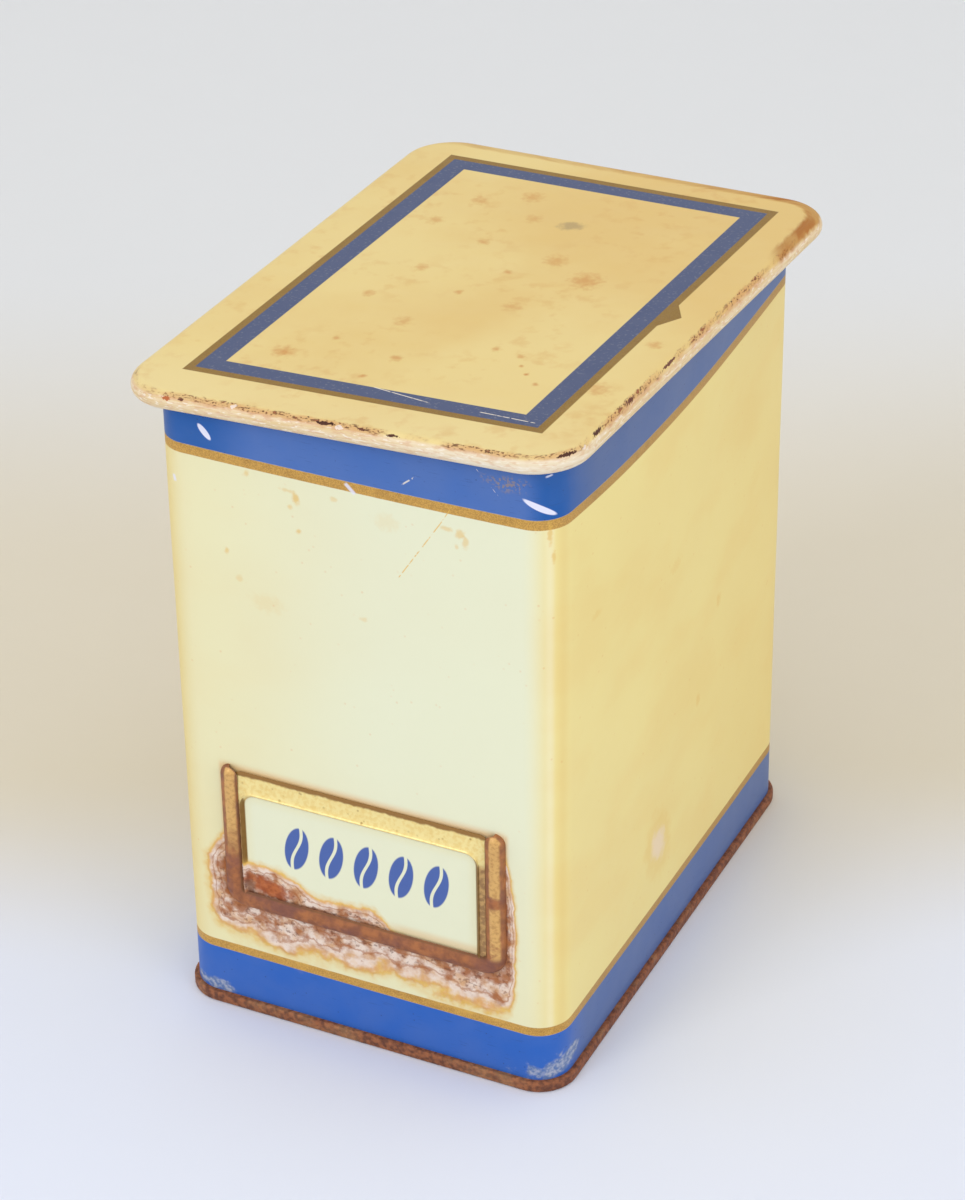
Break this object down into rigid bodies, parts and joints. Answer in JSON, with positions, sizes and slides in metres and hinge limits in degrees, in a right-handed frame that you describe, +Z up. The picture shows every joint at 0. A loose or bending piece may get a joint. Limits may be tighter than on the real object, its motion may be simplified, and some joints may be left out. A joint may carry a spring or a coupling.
{
  "type": "coffee tin",
  "caption": "Rectangular tinplate pantry tin with a flat overhanging lift-off lid, a folded base seam and a label plate that slides into a U-shaped holder on the front.",
  "frame": {"origin": "centre of the rectangle the tin stands on, at the floor", "axes": "+Z up towards the lid, -Y to the front with the label, +X to the right of someone facing the label"},
  "size_m": [0.1136, 0.1572, 0.1734],
  "materials": {
    "cream_print": "satin litho print on tinplate, cream with blue and gold bands",
    "rusted_tinplate": "rusted, matte",
    "gold_lacquer": "gold lacquer on tinplate, worn and rusted at the bottom",
    "plate_print": "satin print, cream with a gold border",
    "lid_print": "satin litho print on tinplate, yellowed cream with a blue and gold frame",
    "bare_tinplate": "bare tinplate, dull"
  },
  "bodies": {
    "tin": {"body_wrap": "cream_print", "base_pan": "rusted_tinplate", "label_holder": "gold_lacquer"},
    "lid": {"lid_panel": "lid_print", "lid_collar": "bare_tinplate"},
    "label": {"label_plate": "plate_print"}
  },
  "joints": [
    {"name": "lid_lift", "type": "slide", "parent": "tin", "child": "lid", "axis": [0, 0, 1], "range_m": [0, 0.06]},
    {"name": "label_slide", "type": "slide", "parent": "tin", "child": "label", "axis": [0, 0, 1], "range_m": [0, 0.05]}
  ]
}
